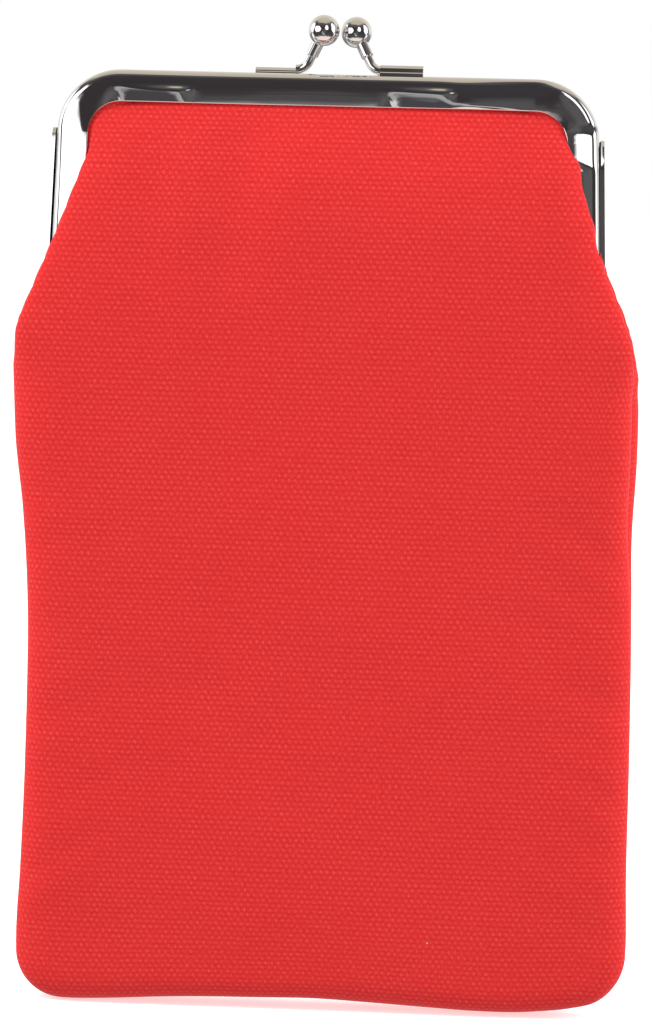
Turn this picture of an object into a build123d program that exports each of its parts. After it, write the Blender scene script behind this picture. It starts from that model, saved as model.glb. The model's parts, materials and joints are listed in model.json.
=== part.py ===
"""Kiss-clasp purse: a tall padded canvas pouch hung in a two-jaw metal frame.

Axes: +Z up, front towards -Y, origin on the floor under the middle of the pouch.
Lengths are in millimetres and angles in degrees. Front pieces are built, and the back ones
mirror them across the closing plane y = 0.
"""

from build123d import *
import math
import os

# --- frame: driving dimensions ------------------------------------------------------------------
FRAME_TOP = 175.6  # top edge above the floor
FRAME_DROP = 50.0  # from the top edge down to the hinge axis
FRAME_HALF = 52.8  # half width over the side plates at the hinge axis
LEG_SPLAY = 2.0  # lean of each leg, outwards towards the hinge
CORNER_RADIUS = 12.0  # outer corner between top bar and leg
SHEET = 0.6  # metal thickness
JAW_DEPTH = 3.8  # front to back depth of one jaw
JAW_GAP = 0.3  # between the closed jaws
FACE_HEIGHT = 6.0  # outer flange, the one that shows
FACE_CROWN = 0.12  # how far the middle of that flange stands proud
INNER_FLANGE = 4.8
BEND_RADIUS = 1.6  # fold between the face and the top, outside
SIDE_CLEARANCE = 0.3  # between a front leg and the back jaw's side plate
CHANNEL_STOP = 4.6  # the channel stops this far above the hinge axis, and only its lug goes on
LUG_RADIUS = 3.2
LUG_OVERLAP = 0.6  # the lug's neck runs this far up into the channel
LUG_NECK_DROP = 1.0  # and starts to narrow this far below the channel's end
LUG_NECK_ANGLE = 41.0  # where the neck meets the lug's disc, in degrees above level
SIDE_LUG_RADIUS = 3.6
SIDE_PLATE_REACH = 38.9  # the back jaw's side plates rise this far above the hinge axis
SIDE_PLATE_SHOULDER = 3.0  # and have their full width from this far above it
SIDE_PLATE_SLANT = 1.0  # the cut-off corner at the top of a side plate's front edge
STEP_SETBACK = 0.2  # from the jaw's back edge to the step that carries a side plate
RIVET_RADIUS = 1.2
RIVET_CLEARANCE = 0.05
RIVET_HEAD = 0.7  # height of both heads
DOME_RADIUS = 2.2  # the outer head
DOME_ROUND = 0.5
PEENED_RADIUS = 2.0  # the inner head
PEENED_CHAMFER = 0.28
RIVET_HEAD_GAP = 0.2  # end play between the inner head and the front jaw's lug

# --- kiss clasp ---------------------------------------------------------------------------------
CLASP_SHIFT = 1.8  # the clasp sits a little right of the middle
BALL_DIAMETER = 5.8
BALL_PITCH = 5.9  # between the ball centres, sideways
BALL_LIFT = {-1: 8.1, 1: 7.9}  # ball centres above the frame's top edge, back jaw's and front jaw's
BALL_CROSS = 1.1  # each ball rests this far beyond the closing plane
FOOT_INNER = 7.7  # from the clasp's middle to the near end of a foot
FOOT_LENGTH = 8.0
FOOT_WIDTH = 1.7
FOOT_HEIGHT = {-1: 1.05, 1: 1.9}  # the back jaw's foot is pressed flatter
FOOT_BASE = 0.2  # the foot's brazed base reaches this far out on both sides
FOOT_BASE_SHARE = 0.35  # of the foot's height
FOOT_BASE_BEVEL = 0.15
FOOT_BEVEL = 0.5  # along the rib's two top edges
ARM_RADIUS = 0.85
ARM_BEND = 2.4
ARM_OVERLAP = 0.5  # the arm runs this far into its foot
ARM_REACH = 1.2  # and turns up this far past the foot's end
COLLAR_RADIUS = 1.15  # the arm is thicker just under the ball
COLLAR_LENGTH = 2.6

# --- pouch --------------------------------------------------------------------------------------
HALF_DEPTH = 9.8  # at the shoulder, just under the hinge
CANVAS = 0.8
FLEECE = 1.2
LINING = 0.3
LAYER_GAP = 0.05
POUCH_CORNER = 8.5  # bottom corners seen from the front
WALL_CLEARANCE = 0.2  # between the face's edge and the cloth inside it
SLOT_CLEARANCE = 0.15  # between the tucked canvas and the inside of the face
TUCK_SHORT = 0.4  # the tucked edge ends this far above the channel's end
CORD_SHORT = 1.0  # and the paper cord this far above it
CORD_CLEARANCE = 0.2  # between the paper cord and the inside of the channel's top
RIM_CLEARANCE = 0.5  # between the frame's face and the cloth that stands in front of it
THREAD = 0.4
SEAM_ALLOWANCE = 2.4  # reach of a turned-in edge each side of the seam
PAPER_CORD_RADIUS = 0.55
SECTION_ROUND = 0.8  # corner radius of a level section, as a share of its half depth
HINGE_CLEARANCE_BELOW = 6.8  # the pouch's own body ends this far below the hinge axis
HINGE_CLEARANCE_ABOVE = 1.6  # and a jaw's share of the cloth starts this far above it

# Half width and half depth of the pouch at heights above the bottom corners.
POUCH_STATIONS = ((8.5, 56.8, 8.6), (40.0, 56.5, 9.2), (79.0, 56.4, 9.6), (118.8, 58.4, HALF_DEPTH))
FOOT_HALF_DEPTH = 7.4

# Half width of a panel at its heights in the mouth, and how far it bulges out of the frame there.
PANEL_EDGE = ((127.2, 57.4), (133.0, 55.2), (140.0, 52.2), (148.0, 49.7), (155.5, 47.1), (160.5, 45.4))
BULGE_LEAN = 0.55  # how far the bulge leans back for each millimetre up, where it meets the top bar
PANEL_BULGE = ((127.2, 9.8), (140.0, 9.7), (150.0, 9.2), (158.0, 7.9), (164.5, 5.8), (169.3, 3.2))

# --- derived places -----------------------------------------------------------------------------
HINGE_Z = FRAME_TOP - FRAME_DROP
SIDE_PLATE = SHEET + SIDE_CLEARANCE
JAW_HALF = FRAME_HALF - SIDE_PLATE  # outer half width of a jaw at the hinge axis
SPLAY_SLOPE = math.tan(math.radians(LEG_SPLAY))
INNER_Y = JAW_GAP / 2
OUTER_Y = INNER_Y + JAW_DEPTH
FLANGE_END = HINGE_Z + CHANNEL_STOP
SIDE_PLATE_TOP = HINGE_Z + SIDE_PLATE_REACH
LOWER_TOP = HINGE_Z - HINGE_CLEARANCE_BELOW
UPPER_FOOT = HINGE_Z + HINGE_CLEARANCE_ABOVE
SLOT_OUTER_Y = OUTER_Y - SHEET - SLOT_CLEARANCE
TUCK_FOOT = FLANGE_END + TUCK_SHORT
CANVAS_INSET = 0.0
FLEECE_INSET = CANVAS + LAYER_GAP
LINING_INSET = FLEECE_INSET + FLEECE + LAYER_GAP
TUCK_INSET = BEND_RADIUS - 0.2  # the tucked edge, measured from the jaw's outline, clear of the fold
CANVAS_WALL = FACE_HEIGHT + WALL_CLEARANCE  # where the cloth leaves the channel
LINING_WALL = CANVAS_WALL + CANVAS + LAYER_GAP
REACH = 80.0  # longer than any half length, for cutting
MARGIN = 1.0  # cutting shapes run this far past what they cut


def half_at(z, inset=0.0):
    """Half width of a jaw's outline at height z, measured square to the leg."""
    return JAW_HALF - (z - HINGE_Z) * SPLAY_SLOPE - inset / math.cos(math.radians(LEG_SPLAY))


def arch_path(inset, bottom):
    """Centre line parallel to a jaw's outline: up one leg, across the top and down the other."""
    top = FRAME_TOP - inset
    corners = [(-half_at(bottom, inset), 0, bottom), (-half_at(top, inset), 0, top)]
    corners += [(half_at(top, inset), 0, top), (half_at(bottom, inset), 0, bottom)]
    return FilletPolyline(*corners, radius=CORNER_RADIUS - inset)


def arch_face(inset, bottom):
    """The area inside a jaw's outline, down to a level."""
    path = arch_path(inset, bottom)
    closing = Line(path @ 1, path @ 0)
    return make_face([*path.edges(), closing])


def arch_band(outer, inner, bottom, y_near, y_far):
    """A band along the jaw's outline between two insets, from |y| near to far on the front side."""
    whole = extrude(arch_face(outer, bottom), amount=y_far - y_near, dir=(0, -1, 0))
    core = extrude(arch_face(inner, bottom - MARGIN), amount=y_far - y_near, dir=(0, -1, 0))
    return Pos(0, -y_near, 0) * (whole - core)


def slab(z_low, z_high, y_low, y_high):
    """A wide block between two heights and two depths."""
    return Pos(0, (y_low + y_high) / 2, (z_low + z_high) / 2) * Box(2 * REACH, y_high - y_low, z_high - z_low)


def as_back(shape):
    """The same piece on the back jaw."""
    return mirror(shape, about=Plane.XZ)


def both_sides(shape):
    """The piece and its mirror image on the other end of the frame."""
    return shape + mirror(shape, about=Plane.YZ)


# --- metal --------------------------------------------------------------------------------------
def channel():
    """Pressed U-channel of the front jaw: crowned face, top and inner flange."""
    path = arch_path(0.0, FLANGE_END)
    tangent = path % 0
    inward = Vector(tangent.Z, 0, -tangent.X)
    at_start = Plane(origin=path @ 0, x_dir=inward, z_dir=tangent)
    back = OUTER_Y - SHEET
    fold_y = -OUTER_Y + BEND_RADIUS
    fold_middle = BEND_RADIUS * (1 - math.sqrt(0.5))
    inner_middle = SHEET + (BEND_RADIUS - SHEET) * (1 - math.sqrt(0.5))
    lip = FACE_HEIGHT - SHEET / 2  # the face ends in a rounded edge
    crown = ((BEND_RADIUS + lip) / 2, -OUTER_Y - FACE_CROWN)
    outline = [
        Line((INNER_FLANGE, -INNER_Y), (0, -INNER_Y)),
        Line((0, -INNER_Y), (0, fold_y)),
        ThreePointArc((0, fold_y), (fold_middle, -OUTER_Y + fold_middle), (BEND_RADIUS, -OUTER_Y)),
        ThreePointArc((BEND_RADIUS, -OUTER_Y), crown, (lip, -OUTER_Y)),
        ThreePointArc((lip, -OUTER_Y), (FACE_HEIGHT, -OUTER_Y + SHEET / 2), (lip, -back)),
        Line((lip, -back), (BEND_RADIUS, -back)),
        ThreePointArc((BEND_RADIUS, -back), (inner_middle, -OUTER_Y + inner_middle), (SHEET, fold_y)),
        Line((SHEET, fold_y), (SHEET, -INNER_Y - SHEET)),
        Line((SHEET, -INNER_Y - SHEET), (INNER_FLANGE, -INNER_Y - SHEET)),
        Line((INNER_FLANGE, -INNER_Y - SHEET), (INNER_FLANGE, -INNER_Y)),
    ]
    return sweep(at_start * make_face(outline), path=path)


def leg_strip(outer, inner, bottom, top):
    """A strip standing square to the front, following the left leg between two insets."""
    corners = [(-half_at(bottom, outer), bottom), (-half_at(bottom, inner), bottom)]
    corners += [(-half_at(top, inner), top), (-half_at(top, outer), top)]
    face = Plane.XZ * make_face(Polyline(*corners, close=True))
    return extrude(face, amount=REACH, both=True)


def side_view(outline, radius):
    """A lug seen from the side: a disc on the hinge axis and the plate that rises from it."""
    disc = Plane.YZ * Pos(0, HINGE_Z) * Circle(radius)
    plate = Plane.YZ * make_face(Polyline(*outline, close=True))
    return extrude(disc, amount=REACH, both=True) + extrude(plate, amount=REACH, both=True)


def hinge_hole(radius):
    """The rivet's hole through both ends of the frame."""
    return Pos(0, 0, HINGE_Z) * Rot(0, 90, 0) * Cylinder(radius, 4 * REACH)


def front_frame_channel():
    """The front jaw: its channel, and at each end a lug that hangs down to the hinge axis."""
    plate_top = FLANGE_END + LUG_OVERLAP
    neck_top = FLANGE_END - LUG_NECK_DROP
    neck_angle = math.radians(LUG_NECK_ANGLE)
    on_disc = (LUG_RADIUS * math.cos(neck_angle), HINGE_Z + LUG_RADIUS * math.sin(neck_angle))
    neck = [(-OUTER_Y + BEND_RADIUS, plate_top), (-INNER_Y, plate_top), (-INNER_Y, neck_top)]
    neck += [on_disc, (-LUG_RADIUS, HINGE_Z)]
    strip = leg_strip(0.0, SHEET, HINGE_Z - LUG_RADIUS - MARGIN, plate_top)
    lugs = both_sides(strip & side_view(neck, LUG_RADIUS))
    return channel() + lugs - hinge_hole(RIVET_RADIUS + RIVET_CLEARANCE)


def back_frame_channel():
    """The back jaw, whose side plates step outwards and flank the front jaw's legs."""
    plate_edge = OUTER_Y - BEND_RADIUS
    top = SIDE_PLATE_TOP
    shoulder = HINGE_Z + SIDE_PLATE_SHOULDER
    plate = [(plate_edge, top), (SIDE_PLATE_SLANT - plate_edge, top), (-plate_edge, top - SIDE_PLATE_SLANT)]
    plate += [(-plate_edge, shoulder), (-SIDE_LUG_RADIUS, HINGE_Z)]
    plate += [(SIDE_LUG_RADIUS, HINGE_Z), (plate_edge, shoulder)]
    strip = leg_strip(-SIDE_PLATE, -SIDE_CLEARANCE, HINGE_Z - SIDE_LUG_RADIUS - MARGIN, top)
    plates = both_sides(strip & side_view(plate, SIDE_LUG_RADIUS))
    step = leg_strip(-SIDE_CLEARANCE - SHEET / 2, SHEET / 2, FLANGE_END, top)
    steps = both_sides(step & slab(FLANGE_END, top, INNER_Y + STEP_SETBACK, plate_edge))
    return as_back(channel()) + plates + steps - hinge_hole(RIVET_RADIUS)


def lying_disc(radius, x_from, x_to):
    """A round bar on the hinge axis between two places along it."""
    return Pos((x_from + x_to) / 2, 0, HINGE_Z) * Rot(0, 90, 0) * Cylinder(radius, x_to - x_from)


def hinge_rivet(side, back_frame):
    """Shank through both lugs, a domed head outside and a peened head inside."""
    inner = JAW_HALF - SHEET - RIVET_HEAD_GAP
    outer = FRAME_HALF
    shank = lying_disc(RIVET_RADIUS, inner, outer)
    dome = lying_disc(DOME_RADIUS, outer - SHEET / 3, outer + RIVET_HEAD)
    dome = fillet(dome.edges().sort_by(Axis.X)[-1], DOME_ROUND)
    peened = lying_disc(PEENED_RADIUS, inner - RIVET_HEAD, inner)
    peened = chamfer(peened.edges().sort_by(Axis.X)[0], PEENED_CHAMFER)
    rivet = shank + dome + peened
    if side < 0:
        rivet = mirror(rivet, about=Plane.YZ)
    return rivet - back_frame


# --- kiss clasp ---------------------------------------------------------------------------------
def ball_centre(side):
    """Ball of the jaw whose clasp foot is on this side: -1 left and back, +1 right and front."""
    return Vector(CLASP_SHIFT + side * BALL_PITCH / 2, side * BALL_CROSS, FRAME_TOP + BALL_LIFT[side])


def clasp_ball(side):
    return Pos(ball_centre(side)) * Sphere(BALL_DIAMETER / 2)


def clasp_arm(side):
    """A foot brazed on the jaw's top, and a round arm that rises from its end to the ball."""
    foot_y = -side * (INNER_Y + FOOT_BASE + FOOT_WIDTH / 2)
    start = Vector(CLASP_SHIFT + side * (FOOT_INNER + ARM_OVERLAP), foot_y, FRAME_TOP + ARM_RADIUS)
    corner = Vector(CLASP_SHIFT + side * (FOOT_INNER - ARM_REACH), foot_y, FRAME_TOP + ARM_RADIUS)
    centre = ball_centre(side)
    path = FilletPolyline(start, corner, centre, radius=ARM_BEND)
    arm = sweep(Plane(origin=start, z_dir=path % 0) * Circle(ARM_RADIUS), path=path)
    along = (centre - corner).normalized()
    collar_base = centre - along * (BALL_DIAMETER / 2 + COLLAR_LENGTH)
    collar_end = Plane(origin=collar_base, z_dir=along)
    collar = extrude(collar_end * Circle(COLLAR_RADIUS), amount=COLLAR_LENGTH + ARM_RADIUS)
    collar = chamfer(collar.edges().filter_by(GeomType.CIRCLE), COLLAR_RADIUS - ARM_RADIUS)
    above = Pos(0, 0, FRAME_TOP + REACH / 2) * Box(2 * REACH, 2 * REACH, REACH)
    return (clasp_foot(side, foot_y) + (arm & above) + collar) - clasp_ball(side)


def clasp_foot(side, foot_y):
    """A bevelled rib on a slightly wider base, along the jaw's top."""
    foot_x = CLASP_SHIFT + side * (FOOT_INNER + FOOT_LENGTH / 2)
    height = FOOT_HEIGHT[side]
    base_height = height * FOOT_BASE_SHARE
    base_width = FOOT_WIDTH + 2 * FOOT_BASE
    base = Pos(foot_x, foot_y, FRAME_TOP + base_height / 2) * Box(FOOT_LENGTH, base_width, base_height)
    base = chamfer(long_top_edges(base), FOOT_BASE_BEVEL)
    rib = Pos(foot_x, foot_y, FRAME_TOP + height / 2) * Box(FOOT_LENGTH, FOOT_WIDTH, height)
    rib = chamfer(long_top_edges(rib), FOOT_BEVEL)
    return base + rib


def long_top_edges(block):
    return block.faces().sort_by(Axis.Z)[-1].edges().filter_by(Axis.X)


# --- cloth in a jaw -----------------------------------------------------------------------------
def under_bulge(inset):
    """Everything behind the bulging front of a panel, measured in by an inset along y."""
    outer = [(-(depth - inset), z) for z, depth in PANEL_BULGE]
    foot_z = PANEL_BULGE[0][0]
    top_z = PANEL_BULGE[-1][0]
    bulge = Spline(*outer, tangents=[(0, 1), (BULGE_LEAN, 1)])
    lines = [Line(outer[-1], (0, top_z)), Line((0, top_z), (0, foot_z)), Line((0, foot_z), outer[0])]
    return extrude(Plane.YZ * make_face([bulge, *lines]), amount=REACH, both=True)


def panel_outline(inset):
    """Front view of a panel: under the frame's top bar, and wider below, over the legs."""
    top_z = PANEL_BULGE[-1][0]
    right = [(half - inset, z) for z, half in PANEL_EDGE]
    wide = Spline(*right)
    mirrored = Spline(*[(-x, z) for x, z in right])
    upper = right[-1]
    left = (-upper[0], upper[1])
    foot = Line((-right[0][0], right[0][1]), right[0])
    below = make_face([wide, Line(upper, left), mirrored, foot])
    opening = arch_face(CANVAS_WALL + inset, upper[1] - MARGIN)
    region = extrude(Plane.XZ * below, amount=REACH, both=True) + extrude(opening, amount=REACH, both=True)
    return region & slab(UPPER_FOOT, top_z, -REACH, REACH)


def layer(inset, thickness):
    """One cloth layer of the bulging front."""
    return under_bulge(inset) - under_bulge(inset + thickness)


def front_canvas_upper():
    """The bulging panel, its turned edge over the legs, and the edge tucked into the channel."""
    face = layer(CANVAS_INSET, CANVAS) & panel_outline(0.0)
    tuck_y = SLOT_OUTER_Y
    tuck = arch_band(TUCK_INSET, CANVAS_WALL + CANVAS, TUCK_FOOT, tuck_y - CANVAS, tuck_y)
    wall = arch_band(CANVAS_WALL, CANVAS_WALL + CANVAS, UPPER_FOOT, tuck_y - CANVAS, HALF_DEPTH + MARGIN)
    rim = panel_outline(0.0) - panel_outline(CANVAS)
    rim = rim & slab(UPPER_FOOT, PANEL_EDGE[-1][0] - MARGIN, -REACH, -OUTER_Y - RIM_CLEARANCE)
    return tuck + face + ((wall + rim) & under_bulge(CANVAS / 2))


def front_fleece_upper():
    opening = extrude(arch_face(LINING_WALL + LAYER_GAP, UPPER_FOOT), amount=REACH, both=True)
    return layer(FLEECE_INSET, FLEECE) & opening


def front_lining_upper():
    slot_y = SLOT_OUTER_Y - LINING_INSET
    opening = extrude(arch_face(LINING_WALL, UPPER_FOOT), amount=REACH, both=True)
    face = layer(LINING_INSET, LINING) & opening
    tuck = arch_band(TUCK_INSET, LINING_WALL + LINING, TUCK_FOOT, slot_y - LINING, slot_y)
    wall = arch_band(LINING_WALL, LINING_WALL + LINING, UPPER_FOOT, slot_y - LINING, HALF_DEPTH)
    return tuck + face + (wall & under_bulge(LINING_INSET))


def front_paper_cord():
    """The twisted paper cord that wedges the cloth into the channel."""
    inset = SHEET + CORD_CLEARANCE + PAPER_CORD_RADIUS
    path = arch_path(inset, FLANGE_END + CORD_SHORT)
    start = Plane(origin=path @ 0, z_dir=path % 0)
    slot_y = SLOT_OUTER_Y - CANVAS - LAYER_GAP - PAPER_CORD_RADIUS
    return Pos(0, -slot_y, 0) * sweep(start * Circle(PAPER_CORD_RADIUS), path=path)


# --- pouch --------------------------------------------------------------------------------------
def pouch_sections(inset):
    """Rounded rectangles from the flat foot, up round the bottom corners, to the shoulder."""
    first_z, first_half, first_depth = POUCH_STATIONS[0]
    sections = []
    for angle in (0.0, 22.5, 45.0, 67.5):
        turn = math.radians(angle)
        z = POUCH_CORNER * (1 - math.cos(turn))
        half = first_half - POUCH_CORNER * (1 - math.sin(turn))
        depth = FOOT_HALF_DEPTH + (first_depth - FOOT_HALF_DEPTH) * math.sin(turn)
        sections.append((z, half, depth))
    sections += POUCH_STATIONS
    return [(z + inset * (1 - z / LOWER_TOP), half - inset, depth - inset) for z, half, depth in sections]


def pouch_solid(inset):
    """The filled pouch, shrunk by an inset."""
    faces = []
    for z, half, depth in pouch_sections(inset):
        faces.append(Pos(0, 0, z) * RectangleRounded(2 * half, 2 * depth, SECTION_ROUND * depth))
    return loft(faces, ruled=True)


def pouch_shell(inset, thickness):
    """One layer of the pouch, open at the top."""
    return pouch_solid(inset) - pouch_solid(inset + thickness)


def half_pouch(shell, edge):
    """The front half of a shell, stopping short of the seam plane."""
    return shell & slab(-MARGIN, LOWER_TOP + MARGIN, -REACH, -edge)


def canvas_lower():
    """Front half of the canvas, with its edge turned in along the seam."""
    outer = pouch_shell(CANVAS_INSET, CANVAS)
    allowance = slab(-MARGIN, LOWER_TOP + MARGIN, -SEAM_ALLOWANCE, -THREAD / 2 - LAYER_GAP)
    turned = pouch_shell(CANVAS, FLEECE) & allowance
    return half_pouch(outer, 0.0) + turned


def fleece_lower():
    return half_pouch(pouch_shell(FLEECE_INSET, FLEECE), SEAM_ALLOWANCE + LAYER_GAP)


def lining_lower():
    return half_pouch(pouch_shell(LINING_INSET, LINING), LINING)


def seam_thread(inset, width):
    """The seam's line of stitching, round both sides and the bottom."""
    return pouch_shell(inset, width) & slab(-MARGIN, LOWER_TOP + MARGIN, -width / 2, width / 2)


# --- the parts ----------------------------------------------------------------------------------
def build_parts():
    back_frame = back_frame_channel()
    parts = {"front_frame_channel": front_frame_channel(), "back_frame_channel": back_frame}
    parts["hinge_rivet_left"] = hinge_rivet(-1, back_frame)
    parts["hinge_rivet_right"] = hinge_rivet(1, back_frame)
    for name, side in (("front", 1), ("back", -1)):
        parts[f"{name}_clasp_arm"] = clasp_arm(side)
        parts[f"{name}_clasp_ball"] = clasp_ball(side)
    pairs = {
        "canvas_upper": front_canvas_upper(),
        "fleece_upper": front_fleece_upper(),
        "lining_upper": front_lining_upper(),
        "paper_cord": front_paper_cord(),
        "canvas_lower": canvas_lower(),
        "fleece_lower": fleece_lower(),
        "lining_lower": lining_lower(),
    }
    for name, shape in pairs.items():
        parts[f"front_{name}"] = shape
        parts[f"back_{name}"] = as_back(shape)
    parts["canvas_seam_thread"] = seam_thread(CANVAS, THREAD)
    parts["lining_seam_thread"] = seam_thread(LINING_INSET, LINING)
    return parts


os.makedirs("parts", exist_ok=True)
for part_name, part_shape in build_parts().items():
    export_step(part_shape, f"parts/{part_name}.step")
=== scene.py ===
"""The looks of a kiss-clasp purse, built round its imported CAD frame.

Lengths are in millimetres, and MM turns them into metres. Only the stage and its lights are in metres.
The purse stands on its flat bottom, +Z up, front towards -Y. The metal pieces are the CAD nodes with
better materials. The canvas, fleece and lining are built here, one continuous cloth for each side.
"""

import json
import math

import bpy
import numpy as np
from mathutils import Matrix, Vector, noise


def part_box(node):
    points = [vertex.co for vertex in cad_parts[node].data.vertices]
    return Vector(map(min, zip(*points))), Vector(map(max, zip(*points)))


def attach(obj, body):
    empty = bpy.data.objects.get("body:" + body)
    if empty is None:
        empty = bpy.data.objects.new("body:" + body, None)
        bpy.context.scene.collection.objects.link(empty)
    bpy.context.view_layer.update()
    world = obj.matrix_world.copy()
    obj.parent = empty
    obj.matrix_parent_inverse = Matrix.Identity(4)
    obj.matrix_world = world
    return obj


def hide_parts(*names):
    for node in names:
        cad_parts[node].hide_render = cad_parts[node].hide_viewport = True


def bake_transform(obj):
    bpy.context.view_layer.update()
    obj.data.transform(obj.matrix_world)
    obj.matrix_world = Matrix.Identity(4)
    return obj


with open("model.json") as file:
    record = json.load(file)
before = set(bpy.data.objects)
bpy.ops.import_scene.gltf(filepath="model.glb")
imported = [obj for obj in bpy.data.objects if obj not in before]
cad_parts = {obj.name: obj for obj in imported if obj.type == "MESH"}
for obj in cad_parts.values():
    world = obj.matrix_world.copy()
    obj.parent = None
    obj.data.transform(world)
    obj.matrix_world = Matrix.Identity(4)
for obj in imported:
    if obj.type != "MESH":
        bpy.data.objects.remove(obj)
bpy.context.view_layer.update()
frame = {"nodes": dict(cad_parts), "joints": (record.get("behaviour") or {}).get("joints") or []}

MM = 0.001  # in metres

# --- sizes from the frame -----------------------------------------------------------------------
CHANNEL_LOW, CHANNEL_HIGH = (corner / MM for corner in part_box("front_frame_channel"))
HINGE_Z = frame["joints"][0]["pos_m"][2] / MM
FRAME_TOP = CHANNEL_HIGH.z
FACE_Y = -CHANNEL_LOW.y  # how far the front jaw's face stands before the closing plane
LEG_FOOT = CHANNEL_LOW.z
LEG_HALF = CHANNEL_HIGH.x  # outer half width of a jaw at the foot of its legs
LEG_SPLAY = math.tan(math.radians(2.0))
FACE_HEIGHT = 6.0
OPENING_CORNER = 6.0  # inner corner radius of the face
SHEET = 0.6
CHANNEL_END = HINGE_Z + 4.6

# --- cloth --------------------------------------------------------------------------------------
CANVAS = 0.8
FLEECE = 1.1
LINING = 0.3
FLEECE_INSET = CANVAS + 0.1
LINING_INSET = FLEECE_INSET + FLEECE + 0.1
FLEECE_TRIM = 3.0  # how far the padding is cut back from the canvas where the side is open
LINING_TRIM = 0.3
SLOT_Y = FACE_Y - SHEET - 0.25  # the canvas lies here inside the channel
OPENING_TOP = FRAME_TOP - FACE_HEIGHT
BOTTOM_CORNER = {-1: 9.0, 1: 12.0}  # radius of the pouch's left and right bottom corners, from the front
BOTTOM_ROUND = 6.5  # height over which the front turns under the bottom
SEAM_TOP = HINGE_Z - 6.0
TUCKS_IN = {-1: (157.0, 163.5), 1: (159.5, 166.5)}  # heights where the edges go in behind the face
COLUMN_STEP = 1.0
EDGE_LINE = 62.0  # length of half a section that the mesh columns are counted from
CONTROL_POINTS = 9  # of half a section
CURVE_SAMPLES = 400
BOTTOM_ROWS = 30
TOP_ROWS = 9
CHANNEL_LIFTS = (0.7, 1.5)  # the edge that is tucked up into the top bar's channel
INNER_RISE_END = 40.0  # below this height the inner layers stand higher, to clear the canvas's bottom
LIFT_END = 30.0  # the bottom edge's sag fades out by this height
SEAM_SAMPLES = 300
STITCH = 2.6
STITCH_POINTS = 8
STITCH_REACH = 0.45  # how far a stitch goes each way through the two cloths
STITCH_SETBACK = 1.3

# The pouch hangs a little crooked: its left and right edges as (height, x).
LEFT_EDGE = (
    (0.0, -54.6), (12.0, -55.1), (26.0, -54.5), (50.0, -53.9), (80.0, -54.2), (94.0, -55.3),
    (106.0, -56.8), (115.0, -57.3), (120.5, -57.6), (124.0, -58.0), (127.0, -57.9), (132.0, -56.1),
    (138.0, -53.6), (145.0, -50.7), (153.0, -47.6), (159.0, -45.4), (164.0, -44.4), (170.0, -43.6),
)
RIGHT_EDGE = (
    (0.0, 58.9), (12.0, 59.5), (26.0, 59.2), (49.0, 59.1), (78.0, 58.6), (92.0, 58.0), (106.0, 58.35),
    (115.0, 58.3), (118.0, 58.2), (121.0, 58.6), (124.0, 59.1), (127.0, 59.2), (132.0, 57.65),
    (138.0, 54.95), (142.0, 53.4), (145.0, 52.2), (149.0, 51.5), (153.0, 49.95), (157.0, 48.9),
    (160.0, 48.4), (170.0, 45.5),
)
# The bottom edge sags into two soft lobes: (x, how far it clears the floor).
BOTTOM_EDGE = (
    (-60.0, 0.0), (-45.0, 0.0), (-36.0, 0.45), (-28.0, 1.0), (-20.0, 1.35), (-9.0, 1.6), (1.0, 1.8),
    (12.0, 1.4), (23.5, 0.85), (32.0, 0.5), (40.0, 0.55), (46.0, 1.0), (51.0, 1.3), (55.0, 0.75), (60.0, 0.4),
)
# Half the pouch's thickness at its middle: (height, y).
HALF_DEPTH = (
    (0.0, 7.6), (20.0, 8.7), (40.0, 9.1), (79.0, 9.5), (110.0, 9.8), (127.0, 9.8), (140.0, 9.5), (150.0, 8.9),
    (158.0, 7.6), (164.5, 5.6), (168.0, 4.1), (170.0, 3.2),
)
SIDE_ROLL = math.radians(11.0)  # how far the right edge is rolled towards the front
ROLL_STARTS = (72.0, 104.0)  # heights over which the roll grows
ROLL_ENDS = (114.0, 127.0)  # heights over which it fades again
ROLL_REACH = 6.0  # width of the rolled edge
# Unevenness of the canvas: how far it stands out, and how broad it is.
BILLOW, BILLOW_SIZE = 0.45, 34.0
RIPPLE, RIPPLE_SIZE = 0.16, 11.0
PUCKER, PUCKER_SIZE = 0.34, 6.5
FRONT_FADE = 8.0  # folds and unevenness fade out where the cloth is less than this far forward
# Soft folds that hang from the top bar: x at the bar, lean, depth, half width and length.
FOLDS = (
    (-37.0, -0.05, 0.70, 4.0, 28.0), (-29.5, -0.10, -0.70, 3.2, 24.0), (-16.0, -0.04, -1.30, 5.0, 44.0),
    (-4.0, 0.02, 0.80, 6.0, 32.0), (9.0, 0.05, -0.50, 5.0, 26.0), (24.0, 0.03, 0.80, 5.5, 32.0),
    (34.5, 0.06, -1.10, 3.6, 26.0), (42.0, 0.08, 0.90, 3.4, 34.0),
)


def smooth_curve(points, x):
    """A smooth curve through (x, value) points, level with its neighbours' slope at each point."""
    xs, ys = np.array(points, float).T
    slopes = np.gradient(ys, xs)
    x = np.clip(x, xs[0], xs[-1])
    i = np.clip(np.searchsorted(xs, x, side="right") - 1, 0, len(xs) - 2)
    step = xs[i + 1] - xs[i]
    t = (x - xs[i]) / step
    rise = 3 * t**2 - 2 * t**3
    bend = (t**3 - 2 * t**2 + t) * slopes[i] + (t**3 - t**2) * slopes[i + 1]
    return ys[i] + rise * (ys[i + 1] - ys[i]) + bend * step


def smoothstep(low, high, x):
    t = np.clip((x - low) / (high - low), 0.0, 1.0)
    return t * t * (3 - 2 * t)


def round_over(z, height, power):
    """From 0 at the floor to 1 at the given height, along a rounded edge."""
    low = np.clip((height - z) / height, 0.0, 1.0)
    return (1 - low**power) ** (1 / power)


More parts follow.
